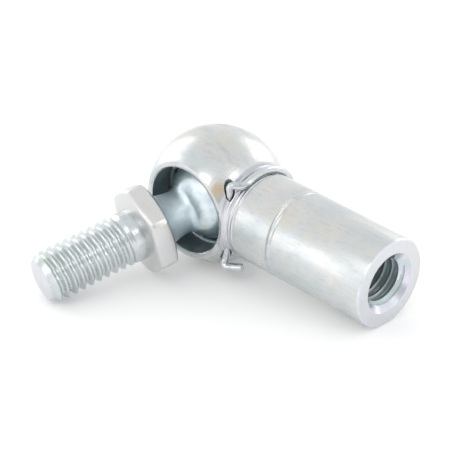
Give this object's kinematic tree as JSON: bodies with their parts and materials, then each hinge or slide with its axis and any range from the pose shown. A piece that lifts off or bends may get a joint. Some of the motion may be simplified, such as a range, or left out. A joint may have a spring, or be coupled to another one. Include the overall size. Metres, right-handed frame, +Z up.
{
  "type": "angle ball joint",
  "caption": "Angle ball joint: a ball stud with an external thread swivels in a round-headed socket whose shank, square to it, has an internal thread; snap ring and wire safety clip.",
  "frame": {"origin": "on the ground plane, under the middle of the joint's bounding box, as it lies on its head, the end of its shank and the end of its stud", "axes": "+Z up, +X along the ground under the socket's shank (the shank droops 5.97 degrees from it), -Y the way the socket's bore opens"},
  "size_m": [0.0344, 0.0294, 0.0152],
  "materials": {
    "zinc_plated_steel": "bright zinc plating over turned steel",
    "spring_steel": "bare spring steel wire, oiled",
    "plated_spring_wire": "zinc plated spring wire"
  },
  "bodies": {
    "socket": {"ball_socket": "zinc_plated_steel", "safety_clip": "plated_spring_wire"},
    "ring": {"retaining_ring": "spring_steel"},
    "stud": {"ball_stud": "zinc_plated_steel"}
  },
  "joints": [
    {"name": "ring_turn", "type": "hinge", "parent": "socket", "child": "ring", "pos_m": [-0.0082, 0.00705, 0.0076], "axis": [-0.0062, -0.9982, -0.059], "continuous": true},
    {"name": "stud_swing", "type": "hinge", "parent": "ring", "child": "stud", "pos_m": [-0.0082, 0.00705, 0.0076], "axis": [0.5066, 0.0477, -0.8609], "range_deg": [-38.8, 1.2]}
  ]
}
